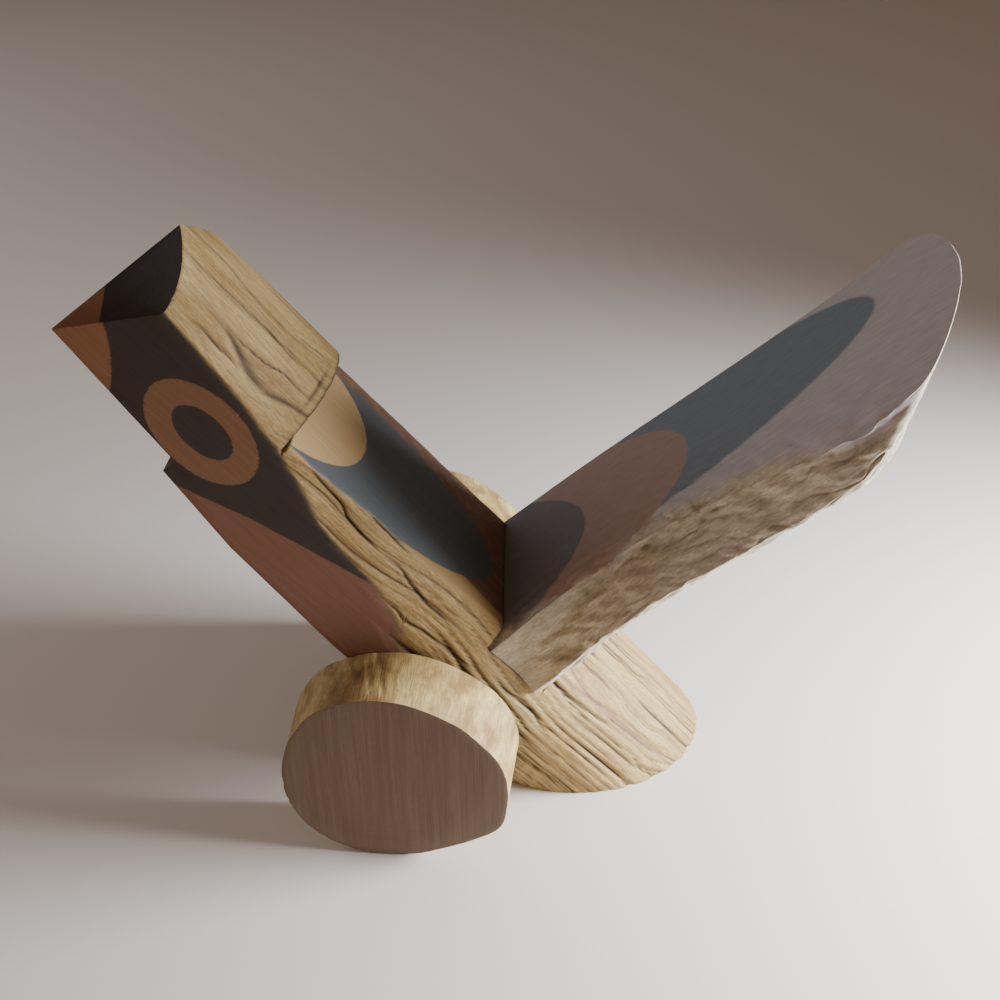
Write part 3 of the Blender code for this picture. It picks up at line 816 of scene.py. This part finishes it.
def sliceFace(name, tones):
    # crosscut face of a log slice: grey-brown end grain, faint growth rings, upright saw streaks and a
    # pale sapwood rim
    finish, tree, shader = newFinish(name, 0.8)
    source = addNode(tree, "ShaderNodeTexCoord")
    streakSpace = addNode(tree, "ShaderNodeMapping", {
        "Vector": source.outputs["Object"], "Scale": (1.1 * mm, 4 * mm, 42 * mm)}, vector_type="TEXTURE")
    streaks = addNode(tree, "ShaderNodeTexNoise", {
        "Vector": streakSpace.outputs[0], "Scale": 1.0, "Detail": 5.0, "Roughness": 0.65})
    blotchSpace = addNode(tree, "ShaderNodeMapping", {
        "Vector": source.outputs["Object"], "Scale": (14 * mm, 14 * mm, 14 * mm)}, vector_type="TEXTURE")
    blotches = addNode(tree, "ShaderNodeTexNoise", {
        "Vector": blotchSpace.outputs[0], "Scale": 1.0, "Detail": 5.0, "Roughness": 0.6})
    pith = addNode(tree, "ShaderNodeAttribute", attribute_name="fromPith")
    # rings 3.1 mm apart, their radius pushed about by the blotches
    pushed = addNode(tree, "ShaderNodeMath", {
        0: blotches.outputs["Fac"], 1: 3.0, 2: pith.outputs["Fac"]}, operation="MULTIPLY_ADD")
    wave = addNode(tree, "ShaderNodeMath", {0: pushed.outputs[0], 1: 2 * np.pi / 3.1}, operation="MULTIPLY")
    rings = addNode(tree, "ShaderNodeMath", {0: wave.outputs[0]}, operation="SINE")
    ringShare = addNode(tree, "ShaderNodeMapRange", {
        "Value": rings.outputs[0], "From Min": -1.0, "From Max": 1.0, "To Min": 0.0, "To Max": 0.1})
    streakShare = addNode(tree, "ShaderNodeMapRange", {
        "Value": streaks.outputs["Fac"], "From Min": 0.3, "From Max": 0.8}, interpolation_type="SMOOTHSTEP")
    base = addNode(tree, "ShaderNodeMix", {
        0: streakShare.outputs[0], 6: toLinear(tones["deep"]), 7: toLinear(tones["mid"])}, data_type="RGBA")
    ringed = addNode(tree, "ShaderNodeMix", {
        0: ringShare.outputs[0], 6: base.outputs[2], 7: toLinear(tones["dark"])}, data_type="RGBA")
    rimShare = addNode(tree, "ShaderNodeMapRange", {
        "Value": pith.outputs["Fac"], "From Min": 29.0, "From Max": 36.0, "To Max": 0.3},
        interpolation_type="SMOOTHSTEP")
    rimmed = addNode(tree, "ShaderNodeMix", {
        0: rimShare.outputs[0], 6: ringed.outputs[2], 7: toLinear(tones["pale"])}, data_type="RGBA")
    tree.links.new(rimmed.outputs[2], shader.inputs["Base Color"])
    raised = addNode(tree, "ShaderNodeBump", {
        "Height": streaks.outputs["Fac"], "Strength": 0.6, "Distance": 0.25 * mm})
    tree.links.new(raised.outputs[0], shader.inputs["Normal"])
    return finish


print("mixing finishes")
logTurn = (0, logSizes["lean"], 0)
bladeTurn = (bladeSizes["roll"], -bladeSizes["slope"], 0)
logPlace, bladePlace = logSizes["middle"], bladeSizes["root"]
# split wood is pale and dry, with hardly any shine
splitTones = {**woodTones, "pale": "D3C9B2", "mid": "C4B9A2", "deep": "A69A80", "fibre": (7.0, 0.8)}
splitWood = debarkedWood("splitLog", bladePlace, bladeTurn, splitTones)
# the rims change more between pale and brown, in shorter patches
rimTones = {**woodTones, "pale": "C2A970", "mid": "8A6A3C", "fibre": (7.0, 0.9), "blotch": (9.0, 6.0)}
rimWood = debarkedWood("debarkedRim", logPlace, (0, 0, 90), rimTones)
# fresh saw cuts: flat, dull and a little paler
rawCut = sawnWood("rippedWood", logPlace, logTurn, {**woodTones, "pale": "BFA77C", "mid": "A68A5E"})
rawBladeCut = sawnWood("crosscutWood", bladePlace, bladeTurn, {
    **woodTones, "pale": "C9B083", "mid": "A98C5F"})
# thin matt paints: soft-edged patches with the grain showing through
paintedLog = flatPaint("debarkedLogPainted", logPlace, logTurn, None, [
    ("saddleCut", "A98B5E", 0.6, 0.4), ("border", "75594A", 1.0, 1.0), ("slate", "5B6062", 0.6, 0.7),
    ("cream", "BC9E70", 0.5, 0.5), ("sidePaint", "3F3935", 0.5, 0.3), ("lowerBand", "835F4E", 0.5, 0.5),
    ("tipPatch", "8C664A", 0.5, 0.5), ("ringOuter", "86654B", 0.4, 0.4), ("ringInner", "403B38", 0.4, 0.4)])
nosePaint = flatPaint("nosePaint", logPlace, logTurn, "312C2A", [("facetTip", "7C5843", 0.6, 0.6)])
# the face's ground and its slate, umber and dark paints are lighter and greyer than the paints themselves:
# painted glare over the shaded face
faceWithPaintedGlare = flatPaint("slateAndUmberFace", bladePlace, bladeTurn, "B4AEAF", [
    ("slate", "76818A", 1.6, 0.8), ("brown", "9D887F", 1.0, 0.6), ("dark", "706E71", 1.1, 0.6),
    ("bareEdge", None, 6.0, 9.0)], tones=splitTones)
# end grain: darker and greyer than the sides
sliceWood = sliceFace("crosscutSlice", {
    "deep": "6F5B4B", "mid": "7A6859", "dark": "625348", "pale": "877665"})
# plain turned dowel: clean, even and paler
beech = debarkedWood("turnedBeech", logPlace, (0, 0, 90), {
    **woodTones, "pale": "D8B88A", "mid": "C9A271", "deep": "A9804F", "fibre": (9.0, 0.3)})

print("cutting the fuselage log")
fuselage = makeLog([paintedLog, nosePaint, rawCut])
gap, depth = bladeSizes["gap"], bladeSizes["notch"]
beyond = 90  # farther than the log's far side, mm
notchOutline = ((-beyond, gap), (beyond, gap), (beyond, -depth - gap), (-beyond, -depth - gap))
notchCorners = [onBlade(s, w, n) for s in (bladeSizes["seat"], beyond) for w, n in notchOutline]
notch = block("notch", np.array(notchCorners), rawCut)
rightLow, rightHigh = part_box("right_wheel")
seatX, seatZ = (rightLow.x + rightHigh.x) / 2 / mm, (rightLow.z + rightHigh.z) / 2 / mm
seatEnds = (logSizes["seatY"], logSizes["seatReach"])
seat = disk("seat", seatX, seatZ, logSizes["seatRadius"], seatEnds, rawCut)
dowelNames = ("wheel_dowel", "wing_dowel_near", "wing_dowel_far")
cutWith(fuselage, [notch, seat] + [pinHole(name, rawCut) for name in dowelNames])
markLog(fuselage)
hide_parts("fuselage_log")

print("splitting the wing blade")
blade = makeBlade([splitWood, faceWithPaintedGlare, rawBladeCut])
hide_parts("wing_blade")

print("slicing the wheels")
leftWheel = makeWheel("left_wheel", "leftWheel", 41, None, [sliceWood, rimWood])
rightWheel = makeWheel("right_wheel", "rightWheel", 51, 1.42, [sliceWood, rimWood])
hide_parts("left_wheel")
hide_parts("right_wheel")

for piece, slotName in ((fuselage, "debarked_log"), (blade, "debarked_log"),
                        (leftWheel, "sawn_slice"), (rightWheel, "sawn_slice")):
    piece.data.shade_smooth()
    piece.data.set_sharp_from_angle(angle=np.radians(42))
    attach(piece, "root")
    print(" ", piece.name, sum(len(p.vertices) - 2 for p in piece.data.polygons), "triangles")

for name in dowelNames:
    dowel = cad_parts[name]
    dowel.data.materials.clear()
    dowel.data.materials.append(beech)

print("setting up the studio")
room = {"floor": "DBD4CB", "floorHalf": 4000.0, "air": "C2AA98", "airStrength": 0.3}

# matt paper: takes soft shadows and mirrors nothing
floorPaper, _, floorShader = newFinish("palePaper", 0.85)
floorShader.inputs["Base Color"].default_value = toLinear(room["floor"])
half = room["floorHalf"]
floor = newPiece("floor", [(-half, -half, 0), (half, -half, 0), (half, half, 0), (-half, half, 0)],
                 [(0, 1, 2, 3)], [floorPaper])

lights = [
    # name, place, what it points at, size in m, spread in degrees, power, colour
    ("windowLight", (0.5, 0.0, 0.18), (0.25, -0.04, 0.0), 0.26, 94, 5.2, "F4F7FF"),
    ("leftFill", (-0.9, 0.3, 0.6), (0.0, 0.1, 0.1), 0.9, 180, 3.2, "E9EEF8"),
    ("roomBounce", (-0.5, -1.1, 0.7), (0.0, 0.0, 0.1), 1.2, 180, 1.7, "FFC79C"),
]
for name, place, target, size, spread, power, colour in lights:
    lamp = bpy.data.lights.new(name, "AREA")
    lamp.shape = "DISK"
    lamp.size = size
    lamp.spread = np.radians(spread)
    lamp.energy = power
    lamp.color = toLinear(colour)[:3]
    light = bpy.data.objects.new(name, lamp)
    light.location = place
    light.rotation_euler = (Vector(target) - Vector(place)).to_track_quat("-Z", "Y").to_euler()
    bpy.context.scene.collection.objects.link(light)

world = bpy.context.scene.world or bpy.data.worlds.new("room")
bpy.context.scene.world = world
world.use_nodes = True
sky = world.node_tree.nodes["Background"]
sky.inputs["Color"].default_value = toLinear(room["air"])
sky.inputs["Strength"].default_value = room["airStrength"]

# place in m, lens and sensor in mm, tilt below level and turn about Z in degrees
view = {"place": (0.0144, -0.2915, 0.3151), "lens": 43.2, "sensor": 36.0, "down": 36.165, "turn": 3.976}
cameraData = bpy.data.cameras.new("camera")
cameraData.lens = view["lens"]
cameraData.sensor_width = view["sensor"]
cameraData.clip_start, cameraData.clip_end = 0.01, 50.0
camera = bpy.data.objects.new("camera", cameraData)
camera.location = view["place"]
camera.rotation_euler = (np.radians(90 - view["down"]), 0, np.radians(view["turn"]))
bpy.context.scene.collection.objects.link(camera)
bpy.context.scene.camera = camera
